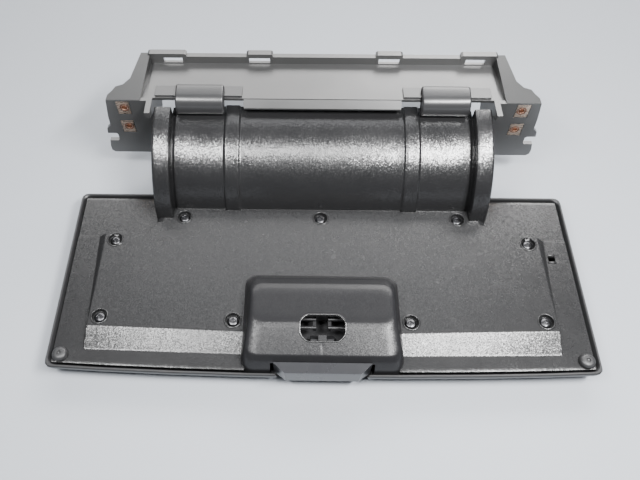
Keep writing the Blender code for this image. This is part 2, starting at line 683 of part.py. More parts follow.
dash_bracket()
drum()
outer_skin()
inner_panel()
panel_screws()
housing_screws()
clip_nuts()
latch_housing()
latch_bolt()
pull_handle()
handle_pivot_pin()
handle_spring()
for side in (1, -1):
    guide_hook(side)
    hinge_side(side)
    bumper(side)
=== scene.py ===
# %% [markdown]
# # A glove box lid with its hinge bracket
#
# The lid lies on its outer face, fully open. Behind it stands the bracket that bolts to the dashboard,
# and between them the quarter-round drum that rolls under two guide hooks. Everything is black moulded
# plastic, so the looks depend on edges that catch the light and on the grain of each moulding.

import json
from math import radians

import bmesh
import bpy
import numpy as np
from mathutils import Matrix, Vector


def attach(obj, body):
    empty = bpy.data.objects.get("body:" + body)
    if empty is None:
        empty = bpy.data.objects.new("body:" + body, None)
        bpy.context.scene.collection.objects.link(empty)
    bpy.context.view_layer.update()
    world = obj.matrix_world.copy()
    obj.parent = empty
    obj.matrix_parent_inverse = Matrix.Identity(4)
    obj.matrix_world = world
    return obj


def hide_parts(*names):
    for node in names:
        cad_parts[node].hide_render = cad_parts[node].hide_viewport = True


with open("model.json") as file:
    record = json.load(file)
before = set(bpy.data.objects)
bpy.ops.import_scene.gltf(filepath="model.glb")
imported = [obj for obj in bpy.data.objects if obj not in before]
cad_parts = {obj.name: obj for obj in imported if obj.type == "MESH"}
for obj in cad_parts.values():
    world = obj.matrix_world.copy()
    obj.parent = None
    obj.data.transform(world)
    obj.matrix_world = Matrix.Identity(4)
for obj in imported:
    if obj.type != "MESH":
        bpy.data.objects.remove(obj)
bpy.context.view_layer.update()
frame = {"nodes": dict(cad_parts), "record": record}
body_of_node = {
    node: body for body, nodes in frame["record"]["behaviour"]["bodies"].items() for node in nodes
}
hinge = next(j for j in frame["record"]["behaviour"]["joints"] if j["name"] == "lid_hinge")
AXIS = np.array(hinge["pos_m"])
MM = 0.001
print("hinge axis at", AXIS)

# %% [markdown]
# ## Where things are
#
# The pieces are drawn in millimetres from the hinge axis, because the drum, the hooks and the bracket are
# all laid out round it: x to the right, y back, z up from the surface under the lid. One function
# turns such points into the scene's metres.


# %% Placing
def metres(points):
    """Millimetres from the hinge axis in x and y, and from the ground in z, to scene metres."""
    return np.asarray(points, float) * MM + np.array([0, AXIS[1], 0])


def new_piece(name, points, faces, finish, body, smooth=30):
    """A mesh of points in millimetres, shaded smooth up to an angle, that rides on a body."""
    mesh = bpy.data.meshes.new(name)
    mesh.from_pydata(metres(points).tolist(), [], faces)
    mesh.validate()
    piece = bpy.data.objects.new(name, mesh)
    bpy.context.scene.collection.objects.link(piece)
    bm = bmesh.new()
    bm.from_mesh(mesh)
    bmesh.ops.remove_doubles(bm, verts=bm.verts, dist=2e-6)
    bmesh.ops.recalc_face_normals(bm, faces=bm.faces)
    bm.to_mesh(mesh)
    bm.free()
    mesh.materials.append(finish)
    mesh.shade_smooth()
    mesh.set_sharp_from_angle(angle=radians(smooth))
    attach(piece, body)
    return piece


# %% [markdown]
# ## Black plastics
#
# Each moulding has its own texture from the mould: leather grain on the drum, pebble grain on the panel, a
# finer spark grain on the bracket. All are one recipe: cells from a Voronoi texture and a little noise
# make the bump, and a slow noise varies the roughness, as handling does. The drum, the panel and the latch
# bump also tilt each cell a little, for the sparkle of their coarser grain.
#
# The metals are one recipe too: a stretched noise sets the scratches, the tone and the roughness.


# %% Plastic
def plastic(name, colour, roughness, cell_mm, depth_mm, spread=0.05, dust=0.15, shine=0.5, facets=0.0):
    """Moulded plastic: grain cells cell_mm wide and depth_mm deep, on object coordinates.

    facets tilts each cell by its own amount, so that single cells catch the light.
    """
    made = bpy.data.materials.new(name)
    made.use_nodes = True
    nodes, links = made.node_tree.nodes, made.node_tree.links
    shader = nodes["Principled BSDF"]
    shader.inputs["Specular IOR Level"].default_value = shine
    where = nodes.new("ShaderNodeTexCoord")

    def noise(scale, detail, rough=0.55):
        node = nodes.new("ShaderNodeTexNoise")
        node.inputs["Scale"].default_value = scale
        node.inputs["Detail"].default_value = detail
        node.inputs["Roughness"].default_value = rough
        links.new(where.outputs["Object"], node.inputs["Vector"])
        return node.outputs["Fac"]

    def spread_over(value, low, high):
        node = nodes.new("ShaderNodeMapRange")
        node.inputs["To Min"].default_value = low
        node.inputs["To Max"].default_value = high
        links.new(value, node.inputs["Value"])
        return node.outputs["Result"]

    cells = nodes.new("ShaderNodeTexVoronoi")
    cells.feature = "SMOOTH_F1"
    cells.inputs["Scale"].default_value = 1 / (cell_mm * MM)
    cells.inputs["Smoothness"].default_value = 0.35
    links.new(where.outputs["Object"], cells.inputs["Vector"])
    fine = noise(3.2 / (cell_mm * MM), 2.0)
    grain = nodes.new("ShaderNodeMath")
    grain.operation = "MULTIPLY_ADD"
    grain.inputs[1].default_value = 0.35
    links.new(fine, grain.inputs[0])
    links.new(cells.outputs["Distance"], grain.inputs[2])
    bump = nodes.new("ShaderNodeBump")
    bump.inputs["Strength"].default_value = 1.0
    bump.inputs["Distance"].default_value = depth_mm * MM
    links.new(grain.outputs[0], bump.inputs["Height"])
    if facets:
        tilt = nodes.new("ShaderNodeVectorMath")
        tilt.operation = "MULTIPLY_ADD"
        tilt.inputs[1].default_value = (facets,) * 3
        tilt.inputs[2].default_value = (-facets / 2,) * 3
        links.new(cells.outputs["Color"], tilt.inputs[0])
        tilted = nodes.new("ShaderNodeVectorMath")
        links.new(bump.outputs["Normal"], tilted.inputs[0])
        links.new(tilt.outputs["Vector"], tilted.inputs[1])
        level = nodes.new("ShaderNodeVectorMath")
        level.operation = "NORMALIZE"
        links.new(tilted.outputs["Vector"], level.inputs[0])
        links.new(level.outputs["Vector"], shader.inputs["Normal"])
    else:
        links.new(bump.outputs["Normal"], shader.inputs["Normal"])
    links.new(spread_over(noise(45, 4), roughness - spread, roughness + spread), shader.inputs["Roughness"])

    tint = nodes.new("ShaderNodeMix")
    tint.data_type = "RGBA"
    tint.inputs[6].default_value = (*colour, 1)
    tint.inputs[7].default_value = (*[c + dust * (0.09 - c) for c in colour], 1)
    links.new(spread_over(noise(160, 5, 0.7), 0, 1), tint.inputs[0])
    links.new(tint.outputs[2], shader.inputs["Base Color"])
    return made


bracket_plastic = plastic("bracket plastic", (0.026, 0.026, 0.026), 0.34, 0.55, 0.012, dust=0.1, shine=1.0)
hook_plastic = plastic("guide hook plastic", (0.022, 0.022, 0.023), 0.32, 0.5, 0.008, dust=0.1, shine=0.7)
panel_plastic = plastic("panel plastic", (0.013, 0.013, 0.0135), 0.26, 0.6, 0.016, dust=0.06, facets=0.12)
# The bump is moulded with the panel. Its plastic is the panel's, painted a little darker as painted shade on
# its front face, and made less shiny.
bump_painted_shade_plastic = plastic(
    "latch bump plastic with painted shade", (0.010, 0.010, 0.011), 0.3, 0.6, 0.012, dust=0.05, facets=0.08, shine=0.25)
drum_plastic = plastic(
    "drum plastic", (0.009, 0.009, 0.0095), 0.25, 0.7, 0.026, dust=0.04, facets=0.15, shine=1.0)
skin_plastic = plastic("outer skin plastic", (0.018, 0.018, 0.019), 0.42, 0.8, 0.03, dust=0.08)
handle_plastic = plastic("handle plastic", (0.018, 0.0185, 0.021), 0.28, 0.4, 0.006, dust=0.06, shine=0.5)
latch_plastic = plastic("latch plastic", (0.014, 0.014, 0.015), 0.36, 0.5, 0.008, dust=0.06)
bumper_rubber = plastic("bumper rubber", (0.018, 0.018, 0.019), 0.42, 0.5, 0.03, dust=0.15)
acetal = plastic("acetal", (0.62, 0.61, 0.57), 0.42, 0.6, 0.01, dust=0.0)


# %% Metal
def metal(name, colour, roughness, wear_scale=900):
    """Sheet or wire metal with fine scratches and a slow change of tone."""
    made = bpy.data.materials.new(name)
    made.use_nodes = True
    nodes, links = made.node_tree.nodes, made.node_tree.links
    shader = nodes["Principled BSDF"]
    shader.inputs["Metallic"].default_value = 1.0
    where = nodes.new("ShaderNodeTexCoord")
    stretch = nodes.new("ShaderNodeMapping")
    stretch.inputs["Scale"].default_value = (0.25, 1.0, 1.6)
    links.new(where.outputs["Object"], stretch.inputs["Vector"])
    scratches = nodes.new("ShaderNodeTexNoise")
    scratches.inputs["Scale"].default_value = wear_scale
    scratches.inputs["Detail"].default_value = 6
    links.new(stretch.outputs["Vector"], scratches.inputs["Vector"])
    rough = nodes.new("ShaderNodeMapRange")
    rough.inputs["To Min"].default_value = roughness - 0.12
    rough.inputs["To Max"].default_value = roughness + 0.12
    links.new(scratches.outputs["Fac"], rough.inputs["Value"])
    links.new(rough.outputs["Result"], shader.inputs["Roughness"])
    tone = nodes.new("ShaderNodeMix")
    tone.data_type = "RGBA"
    tone.inputs[6].default_value = (*[c * 0.62 for c in colour], 1)
    tone.inputs[7].default_value = (*colour, 1)
    links.new(scratches.outputs["Fac"], tone.inputs[0])
    links.new(tone.outputs[2], shader.inputs["Base Color"])
    bump = nodes.new("ShaderNodeBump")
    bump.inputs["Strength"].default_value = 0.6
    bump.inputs["Distance"].default_value = 0.02 * MM
    links.new(scratches.outputs["Fac"], bump.inputs["Height"])
    links.new(bump.outputs["Normal"], shader.inputs["Normal"])
    return made


screw_steel = metal("screw steel", (0.10, 0.10, 0.105), 0.3)
pin_steel = metal("pin steel", (0.55, 0.55, 0.56), 0.3)
nut_copper = metal("clip nut copper", (0.95, 0.76, 0.62), 0.28)
# The thread rim is the nut's own copper painted darker: painted shade in the hole.
thread_painted_shade_copper = metal("thread copper with painted shade", (0.30, 0.15, 0.10), 0.35)


# %% [markdown]
# ## Tools for drawn surfaces
#
# Most mouldings here are sheets: a grid of points with a height or a radius at each. The grid lines crowd
# together where an edge is rounded and spread out where the sheet is flat.


# %% Grids
def ruled(stops, coarse, spots=()):
    """Grid lines through every stop: coarse apart, or as close as a spot (place, reach, step) asks."""
    samples = 400
    lines = [stops[0]]
    for low, high in zip(stops, stops[1:]):
        at = np.linspace(low, high, samples)
        step = np.full(samples, float(coarse))
        for place, reach, fine in spots:
            step = np.where(abs(at - place) < reach, np.minimum(step, fine), step)
        walked = np.concatenate([[0], np.cumsum(np.diff(at) / step[:-1])])
        count = max(round(walked[-1]), 1)
        lines += list(np.interp(np.arange(1, count + 1) / count * walked[-1], walked, at))
    return np.array(lines)


def grid_quads(rows, columns, keep=None, wrap=False):
    """Faces of a grid whose points run row by row.

    keep is a mask of the cells, and wrap joins the last column to the first.
    """
    across = columns if wrap else columns - 1
    r, c = np.meshgrid(np.arange(rows - 1), np.arange(across), indexing="ij")
    if keep is not None:
        r, c = r[keep], c[keep]
    here, there = r * columns + c, r * columns + (c + 1) % columns
    return np.stack([here, there, there + columns, here + columns], -1).reshape(-1, 4).tolist()


def ring_quads(rows, around):
    """Faces of a closed ring: the rows run round it, and the last row joins the first."""
    last = (rows - 1) * around
    closing = [[last + i, last + (i + 1) % around, (i + 1) % around, i] for i in range(around)]
    return grid_quads(rows, around, wrap=True) + closing


def soft_ramp(t, e):
    """0 below 0, 1 above 1 and straight between, with each corner rounded over e on both sides."""
    def corner(s):
        return np.where(s < -e, 0, np.where(s > e, s, (s + e) ** 2 / (4 * e)))
    return corner(t) - corner(t - 1)


def thickened(piece, thickness_mm, edge_mm=0.3):
    """Gives a sheet its wall below the drawn face, and rounds the rims."""
    solid = piece.modifiers.new("wall", "SOLIDIFY")
    solid.thickness = thickness_mm * MM
    solid.offset = -1
    edge = piece.modifiers.new("edges", "BEVEL")
    edge.width = edge_mm * MM
    edge.segments = 2
    edge.limit_method = "ANGLE"
    edge.angle_limit = radians(60)
    return piece


def upward(points, faces):
    """The faces, turned if needed so that the first of them looks up."""
    a, b, c = (np.asarray(points)[faces[0][i]] for i in range(3))
    return faces if np.cross(b - a, c - a)[2] > 0 else [face[::-1] for face in faces]


def turned(name, profile, centre, finish, body, sides=48, shape=None, smooth=35):
    """A profile of (radius, z) turned about an upright axis and closed at both ends.

    shape(k, angle) scales the radius of profile point k, which makes a recess that isn't round.
    """
    angle = 2 * np.pi * np.arange(sides) / sides
    rings = []
    for k, (radius, z) in enumerate(profile):
        r = radius * (shape(k, angle) if shape else np.ones(sides))
        x, y = centre[0] + r * np.cos(angle), centre[1] + r * np.sin(angle)
        rings.append(np.stack([x, y, np.full(sides, z)], -1))
    points = np.concatenate(rings)
    faces = grid_quads(len(profile), sides, wrap=True)
    last = len(points) - sides
    faces += [list(range(sides))[::-1], list(range(last, last + sides))]
    return new_piece(name, points, faces, finish, body, smooth)


def sliced(name, slices, finish, body, smooth=30):
    """A solid through closed slices with the same number of points, with flat ends."""
    slices = np.asarray(slices, float)
    count, around = slices.shape[:2]
    points = slices.reshape(-1, 3)
    faces = grid_quads(count, around, wrap=True)
    faces += [list(range(around))[::-1], list(range((count - 1) * around, count * around))]
    return new_piece(name, points, faces, finish, body, smooth)


# %% [markdown]
# ## The drum
#
# The drum is a sheet about the hinge axis. Its radius along the width is one profile: a plain middle, a low
# band, a plain part, a narrow groove, and the tall end band. The profile is offset by the wall to make
# the inside, and both are swept from the foot up to the top. Plates with a hinge eye close the ends.

# %% Drum
DRUM_WALL, END_BAND_START = 2.4, 122.2
AXIS_Z = 10.0


def cover_profile():
    """The plain middle, the low bands and the grooves, as (x, radius) across the drum."""
    half = [(0, 64.5), (22, 64.5), (44, 64.5), (60, 64.5), (65.4, 64.5), (66.1, 64.6), (66.6, 64.95),
            (67.0, 65.5), (67.4, 65.85), (67.9, 66), (70, 66), (73, 65.9), (76, 66), (77.7, 66),
            (78.3, 65.85), (78.7, 65.5), (79.1, 64.95), (79.6, 64.6), (80.3, 64.5), (90, 64.5),
            (105, 64.5), (118.8, 64.5), (119.6, 64.3), (120.2, 63.8), (120.6, 63.2), (121.4, 62.9),
            (123, 62.8)]
    return np.array([(-x, r) for x, r in half[:0:-1]] + half)


def end_band_profile(side):
    """The tall band beside the groove, from its foot up its inner side and over to its outer edge."""
    edge, outer = END_BAND_START, 136.0
    half = [(edge, 62.9), (edge, 66), (edge, 69.5), (edge, 72.7), (edge + 0.15, 73.3), (edge + 0.5, 73.75),
            (edge + 1.1, 73.95), (edge + 2, 74), (127, 74), (outer - 2.6, 74), (outer - 1.4, 73.9),
            (outer - 0.6, 73.6), (outer - 0.15, 73.1), (outer, 72.4)]
    return np.array(half if side > 0 else [(-x, r) for x, r in half[::-1]])


def drum_sheet(name, profile, wall, first, last, steps=72):
    """The profile and its offset, joined into one closed strip and swept about the hinge axis."""
    along = np.gradient(profile, axis=0)
    along /= np.linalg.norm(along, axis=1)[:, None]
    inside = profile + wall * np.stack([along[:, 1], -along[:, 0]], -1)
    inside[:, 0] = np.clip(inside[:, 0], profile[0, 0], profile[-1, 0])
    loop = np.concatenate([profile, inside[::-1]])
    angle = np.radians(np.linspace(first, last, steps))
    cos_a, sin_a = np.cos(angle)[:, None], np.sin(angle)[:, None]
    x = np.broadcast_to(loop[:, 0], (steps, len(loop)))
    slices = np.stack([x, -loop[:, 1] * cos_a, AXIS_Z + loop[:, 1] * sin_a], -1)
    count, around = slices.shape[:2]
    half = around // 2
    faces = grid_quads(count, around, wrap=True)
    for start in (0, (count - 1) * around):
        for i in range(half - 1):
            faces.append([start + i, start + i + 1, start + around - 2 - i, start + around - 1 - i])
    return new_piece(name, slices.reshape(-1, 3), faces, drum_plastic, "lid", 32)


def drum_end(side):
    """The plate that closes one end of the drum, with its hinge eye."""
    rim_radius, eye_radius = 73, 8.5
    rim_turn, eye_turn = np.radians(np.linspace(-4.3, 84.7, 40)), np.radians(np.linspace(20, -180, 24))
    rim = [(-rim_radius * np.cos(a), AXIS_Z + rim_radius * np.sin(a)) for a in rim_turn]
    eye = [(eye_radius * np.cos(a), AXIS_Z + eye_radius * np.sin(a)) for a in eye_turn]
    outline = rim + eye + [(-12, AXIS_Z + 11), (-52, AXIS_Z + 11), (-52, AXIS_Z - 5.5)]
    middle = np.mean(outline, axis=0)
    inward = [(middle - p) / np.linalg.norm(middle - p) for p in outline]
    slices = []
    for x, inset in ((133.0, 0.4), (133.4, 0), (135.2, 0), (135.6, 0.4)):
        slices.append([(side * x, *(np.array(p) + inset * way)) for p, way in zip(outline, inward)])
    return sliced("drum_end", slices, drum_plastic, "lid")


drum_pieces = [drum_sheet("drum_cover", cover_profile(), DRUM_WALL, -6, 94)]
drum_pieces += [drum_sheet("drum_band", end_band_profile(side), DRUM_WALL, -5, 85.5) for side in (1, -1)]
tongue_profile = np.array([(x, 64.2) for x in np.linspace(-62.7, 62.7, 9)])
drum_pieces.append(drum_sheet("drum_tongue", tongue_profile, 2.0, 86, 95.5, 12))
drum_pieces += [drum_end(1), drum_end(-1)]
for piece in drum_pieces:
    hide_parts("drum")
print("drum", [len(piece.data.polygons) for piece in drum_pieces])

# %% [markdown]
# ## The latch bump
#
# The bump's height comes from nested rings. Each ring is a rounded rectangle at its own height, and they
# shrink as they rise, steeply at the back and the sides and slowly over the front slope. The height at
# a point is that of the highest ring which still holds the point.

# %% Bump
BUMP_RINGS = np.array([
    # half width, back, front, height
    (59.5, -125.5, -203.6, 14), (59.5, -126, -203.4, 19), (58.8, -126.8, -201.8, 23),
    (57.6, -128.8, -199.2, 28), (56.2, -131.2, -196.2, 31.6), (54.6, -136, -185, 36),
    (53, -142, -177, 39.1), (51.5, -146, -174, 40),
])
BUMP_CORNER = 9.0


def inside_ring(x, y, half, back, front):
    """Signed distance to the ring's rounded rectangle, less than 0 inside."""
    middle, depth = (back + front) / 2, (back - front) / 2
    across = abs(x) - half + BUMP_CORNER
    deep = abs(y - middle) - depth + BUMP_CORNER
    outside = np.hypot(np.maximum(across, 0), np.maximum(deep, 0))
    return outside + np.minimum(np.maximum(across, deep), 0) - BUMP_CORNER


def bump_height(x, y):
    """Height of the bump. The rings' sizes are read at 90 heights from the list by straight lines.

    Between two heights the crossing of the rings gives the height by a straight line. The top is crowned a
    little, and a narrow bell-shaped sink line runs down the middle of the front slope.
    """
    foot, crest, crown, crown_reach = 14, 40, 0.35, 6
    x, y = np.broadcast_arrays(np.asarray(x, float), np.asarray(y, float))
    levels = np.linspace(foot, crest, 90)
    sizes = [np.interp(levels, BUMP_RINGS[:, 3], BUMP_RINGS[:, k]) for k in range(3)]
    height = np.full(x.shape, float(foot))
    before = inside_ring(x, y, *(s[0] for s in sizes))
    height -= 2.5 * np.clip(before, 0, 2)
    for k in range(1, len(levels)):
        after = inside_ring(x, y, *(s[k] for s in sizes))
        crossing = (before <= 0) & (after > 0)
        part = np.where(crossing, before / np.where(crossing, before - after, 1), 0)
        height = np.where(crossing, levels[k - 1] + part * (levels[k] - levels[k - 1]), height)
        before = after
    depth = np.clip(-before, 0, crown_reach)
    height = np.where(before <= 0, crest + crown * (1 - (1 - depth / crown_reach) ** 2), height)
    sink = 0.22 * np.exp(-(x / 0.9) ** 2) * soft_ramp((y + 196) / 3, 0.2) * soft_ramp((-187.5 - y) / 2, 0.2)
    return height - sink


def blurred(height, x_lines, y_lines, reach):
    """The height averaged with its neighbours up to reach away, which rounds each crease."""
    near = [(dx, dy) for dx in (-reach, 0, reach) for dy in (-reach, 0, reach)]
    return sum(height(x_lines + dx, y_lines + dy) for dx, dy in near) / len(near)


WINDOW_HALF, WINDOW_MIDDLE, WINDOW_DEEP, WINDOW_CUT = 16.0, -177.35, 9.05, 4.5
WINDOW = [(sx * (WINDOW_HALF - cx), WINDOW_MIDDLE + sy * (WINDOW_DEEP - cy)) for sx, sy, cx, cy in (
    (-1, -1, WINDOW_CUT, 0), (1, -1, WINDOW_CUT, 0), (1, -1, 0, WINDOW_CUT), (1, 1, 0, WINDOW_CUT),
    (1, 1, WINDOW_CUT, 0), (-1, 1, WINDOW_CUT, 0), (-1, 1, 0, WINDOW_CUT), (-1, -1, 0, WINDOW_CUT))]


def in_window(x, y, grow=0.0):
    """Whether a point is in the window, a rectangle with cut corners, made larger by grow."""
    across, deep = abs(x) - WINDOW_HALF - grow, abs(y - WINDOW_MIDDLE) - WINDOW_DEEP - grow
    corner = across + deep + WINDOW_CUT + 0.6 * grow
    return np.maximum(np.maximum(across, deep), corner) < 0


def latch_bump():
    """The bump's sheet, open at the window and where the pull handle passes at the front."""
    spots = [(-56.5, 4, 0.4), (56.5, 4, 0.4), (-16, 5, 0.6), (16, 5, 0.6), (0, 2, 0.4)]
    xs = ruled([-60, -37.5, 0, 37.5, 60], 2.2, spots)
    spots = [(-200, 5.5, 0.4), (-129, 5, 0.4), (-140, 8, 0.9), (-174, 3, 0.5), (-179, 10, 0.8)]
    ys = ruled([-204, -200, -125], 1.6, spots)
    x, y = np.meshgrid(xs, ys)
    z = blurred(bump_height, x, y, 0.45)
    x_mid, y_mid = (x[1:, 1:] + x[:-1, :-1]) / 2, (y[1:, 1:] + y[:-1, :-1]) / 2
    keep = ~in_window(x_mid, y_mid, 0.2)
    keep &= ~((y_mid < -200) & (abs(x_mid) < 37.5))
    keep &= inside_ring(x_mid, y_mid, *BUMP_RINGS[0, :3]) < 0.3
    points = np.stack([x, y, z], -1).reshape(-1, 3)
    faces = upward(points, grid_quads(len(ys), len(xs), keep))
    return thickened(new_piece("latch_bump", points, faces, bump_painted_shade_plastic, "lid", 40), 2.0)


def window_rim():
    """The bead round the window and the wall below it, swept along the window's outline."""
    round_from = 2.1
    corners = np.array(WINDOW, float)
    path = []
    for i, here in enumerate(corners):
        before, after = corners[i - 1] - here, corners[(i + 1) % 8] - here
        for t in (0, 0.25, 0.5, 0.75, 1):
            a = here + before / np.linalg.norm(before) * round_from
            b = here + after / np.linalg.norm(after) * round_from
            path.append((1 - t) ** 2 * a + 2 * t * (1 - t) * here + t ** 2 * b)
    path = np.array(path)
    along = np.roll(path, -1, axis=0) - np.roll(path, 1, axis=0)
    outward = np.stack([along[:, 1], -along[:, 0]], -1) / np.linalg.norm(along, axis=1)[:, None]
    section = [(1.25, -0.35), (1.1, 0.05), (0.8, 0.22), (0.4, 0.25), (0.1, 0.1), (0, -0.25), (0.05, -2.6),
               (1.25, -2.6)]
    slices = []
    for offset, lift in section:
        spots = path + offset * outward
        top = bump_height(spots[:, 0], spots[:, 1])
        slices.append(np.stack([spots[:, 0], spots[:, 1], top + lift], -1))
    faces = ring_quads(len(section), len(path))
    return new_piece("window_rim", np.concatenate(slices), faces, panel_plastic, "lid", 40)


for piece in (latch_bump(), window_rim()):
    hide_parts("inner_panel")

# %% [markdown]
# ## The inner panel
#
# The panel is a height over the lid: a low margin, and a raised field with steep flanks at the sides, a
# long slope at the front and a step at the rear. The drum's cut-out, the screw holes, the slot and the
# space under the bump are left out of the grid. A turned ring lines each screw hole.

# %% Panel
SCREWS = [(0, -72), (112.7, -72), (-112.7, -72), (166.5, -95), (-166.5, -95), (167, -163.5), (-167, -163.5),
          (66.5, -165.5), (-66.5, -165.5)]
PANEL_HALF, PANEL_BACK, MARGIN_Z, FIELD_Z = 197.9, -49.0, 18.0, 24.0
LID_HALF, FRONT_SIDE, FRONT_BOW, LID_TAPER = 202.2, -202.0, -4.8, 2.1


def front_edge(x):
    """Where the lid's bowed front edge lies."""
    return FRONT_SIDE + FRONT_BOW * (1 - (x / LID_HALF) ** 2)


def field_height(x, y):
    """Height of the margin, the flanks and the field: each flank is a ramp, and the lowest of them counts.

    The side flank widens towards the rear, and the front slope is bowed, from the bump to the corner.
    """
    x = abs(x)
    side_foot = 175.6 + 5.9 * np.clip((y + 187.5) / 100, 0, 1)
    outward = np.clip((x - 60) / 115, 0, 1)
    front_foot = -190.1 + 2.6 * outward
    side, front = (side_foot - x) / (side_foot - 175), (y - front_foot) / (15.5 + 0.8 * outward)
    diagonal = 1 - ((x - 141.5) * 10 + (y + 89) * 6) / np.hypot(10, 6) / 1.5
    rear = np.maximum(np.maximum((-87.5 - y) / 1.5, (135.5 - x) / 1.5), diagonal)
    margin = MARGIN_Z - 0.6 * soft_ramp((y + 88.8) / 1.2, 0.2)
    return margin + (FIELD_Z - margin) * soft_ramp(np.minimum(np.minimum(side, front), rear), 0.05)


def drum_reach(x):
    """How far forward the drum's cut-out comes."""
    x = abs(x)
    edge = np.where((x > 66.2) & (x < 79.3), -64.8, -63.3)
    return np.where((x > 121.9) & (x < 136.3), -73.0, np.where(x > 136.3, 0, edge))


SLOT = (182.4, 188.0, -107.6, -103.2)
WELL_HOLE_RADIUS = 6.1


def panel_sheet():
    """The panel's sheet. Its front line follows the bowed edge, and its sides follow the lid's taper."""
    half_stops = [0, 66.2, 79.3, 121.9, 136.3, SLOT[0], SLOT[1], PANEL_HALF]
    spots = [(x, 7.4, 0.7) for x, _ in SCREWS] + [(s * x, 3.5, 0.4) for s in (-1, 1) for x in (175.8, 179)]
    spots += [(s * 139.5, 5, 0.6) for s in (-1, 1)] + [(s * PANEL_HALF, 1, 0.4) for s in (-1, 1)]
    xs = ruled([-s for s in half_stops[:0:-1]] + half_stops, 3.2, spots)
    spots = [(y, 7.4, 0.7) for _, y in SCREWS]
    spots += [(-173, 2.6, 0.4), (-188.8, 2.2, 0.4), (-88, 1.6, 0.3), (-84, 6, 0.7)]
    ys = ruled([-198, -191.5, SLOT[2], SLOT[3], -73, -64.8, -63.3, PANEL_BACK], 2.4, spots)
    x, y = np.meshgrid(xs, ys)
    y_bowed = y + (front_edge(x) + 4.3 + 198) * np.clip((-191.5 - y) / 6.5, 0, 1)
    widened = np.clip((abs(x) - 188) / (PANEL_HALF - 188), 0, 1) * LID_TAPER * np.clip((y + 198) / 150, 0, 1)
    z = field_height(x, y)
    x_mid, y_mid = (x[1:, 1:] + x[:-1, :-1]) / 2, (y[1:, 1:] + y[:-1, :-1]) / 2
    keep = y_mid < drum_reach(x_mid)
    keep &= inside_ring(x_mid, y_mid, 57.0, -129, -206) > 0
    keep &= ~((x_mid > SLOT[0]) & (x_mid < SLOT[1]) & (y_mid > SLOT[2]) & (y_mid < SLOT[3]))
    for screw_x, screw_y in SCREWS:
        keep &= np.hypot(x_mid - screw_x, y_mid - screw_y) > WELL_HOLE_RADIUS
    points = np.stack([x + np.sign(x) * widened, y_bowed, z], -1).reshape(-1, 3)
    faces = upward(points, grid_quads(len(ys), len(xs), keep))
    return thickened(new_piece("panel_sheet", points, faces, panel_plastic, "lid", 40), 2.3)


def slot_rib(y):
    """A low rounded ridge along one side of the slot."""
    section = [(-0.9, 17.2), (-0.9, 18.3), (-0.7, 18.8), (-0.3, 19.05), (0.3, 19.05), (0.7, 18.8),
               (0.9, 18.3), (0.9, 17.2)]
    ends = ((SLOT[0] - 0.2, 0.3), (SLOT[0] + 0.3, 0), (SLOT[1] - 0.3, 0), (SLOT[1] + 0.2, 0.3))
    slices = [[(x, y + dy * (1 - draw), z - draw * (z > 18)) for dy, z in section] for x, draw in ends]
    return sliced("slot_rib", slices, panel_plastic, "lid", 40)


def screw_well(x, y):
    """The raised ring round a screw, the wall of its recess and the seat."""
    profile = [(2.7, 19.2), (6.9, 19.2), (6.95, 23.7), (6.8, 24.2), (6.5, 24.5), (6.2, 24.6), (5.95, 24.6),
               (5.7, 24.5), (5.55, 24.25), (5.5, 23.8), (5.4, 20.9), (5.1, 20.6), (2.9, 20.5), (2.7, 20.3)]
    sides = 40
    angle = 2 * np.pi * np.arange(sides) / sides
    slices = [
        np.stack([x + r * np.cos(angle), y + r * np.sin(angle), np.full(sides, z)], -1) for r, z in profile]
    faces = ring_quads(len(profile), sides)
    return new_piece("screw_well", np.concatenate(slices), faces, panel_plastic, "lid", 40)


panel = panel_sheet()
for piece in [panel, slot_rib(-102.2), slot_rib(-108.6)] + [screw_well(x, y) for x, y in SCREWS]:
    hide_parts("inner_panel")
print("panel", len(panel.data.polygons))

# %% [markdown]
# ## Screws and bumpers
#
# Each screw is turned, and its recess is the same ring with four lobes, pushed down into the head.


# %% Small turned pieces
def screw_head(node, x, y, seat, head_radius, tip):
    """A turned screw. The profile points inside the head's top swell and shrink four times round."""
    first_recess_point = 8
    profile = [(0.9, tip), (2.0, tip + 2.5), (2.0, seat), (head_radius, seat), (head_radius, seat + 0.5),
               (head_radius * 0.96, seat + 1.1), (head_radius * 0.86, seat + 1.8),
               (head_radius * 0.7, seat + 2.2), (1.75, seat + 2.4), (1.6, seat + 2.3), (1.45, seat + 1.2),
               (0.5, seat + 1.0)]

    def lobes(k, angle):
        return 1 + (0.26 * np.cos(4 * angle) if k >= first_recess_point else 0) * np.ones_like(angle)

    piece = turned(node + "_turned", profile, (x, y), screw_steel, "lid", 48, lobes)
    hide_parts(node)


for node, item in frame["nodes"].items():
    if node.startswith(("panel_screw_", "housing_screw_")):
        corners = np.array([item.matrix_world @ Vector(c) for c in item.bound_box])
        middle = (corners.min(axis=0) + corners.max(axis=0)) / 2 - np.array([0, AXIS[1], 0])
        seat, head_radius = (20.8, 4.3) if node.startswith("panel") else (11.8, 3.6)
        screw_head(node, middle[0] / MM, middle[1] / MM, seat, head_radius, 4.0)

BUMPER = (191.8, -192.5)
for side, node in ((1, "bumper_right"), (-1, "bumper_left")):
    profile = [(2.4, 12.3), (2.4, 18.3), (5.3, 18.3), (5.6, 18.7), (5.6, 20.3), (5.45, 20.9), (5.1, 21.6),
               (4.5, 22.2), (3.6, 22.6), (2.4, 22.8), (1.5, 22.75), (1.2, 22.4), (1.0, 21.9), (0.5, 21.7)]
    piece = turned(node + "_turned", profile, (side * BUMPER[0], BUMPER[1]), bumper_rubber, "lid")
    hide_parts(node)

# %% [markdown]
# ## The guide hooks
#
# A hook is one smooth side view pushed across, and its ends are rounded by drawing the side view in.


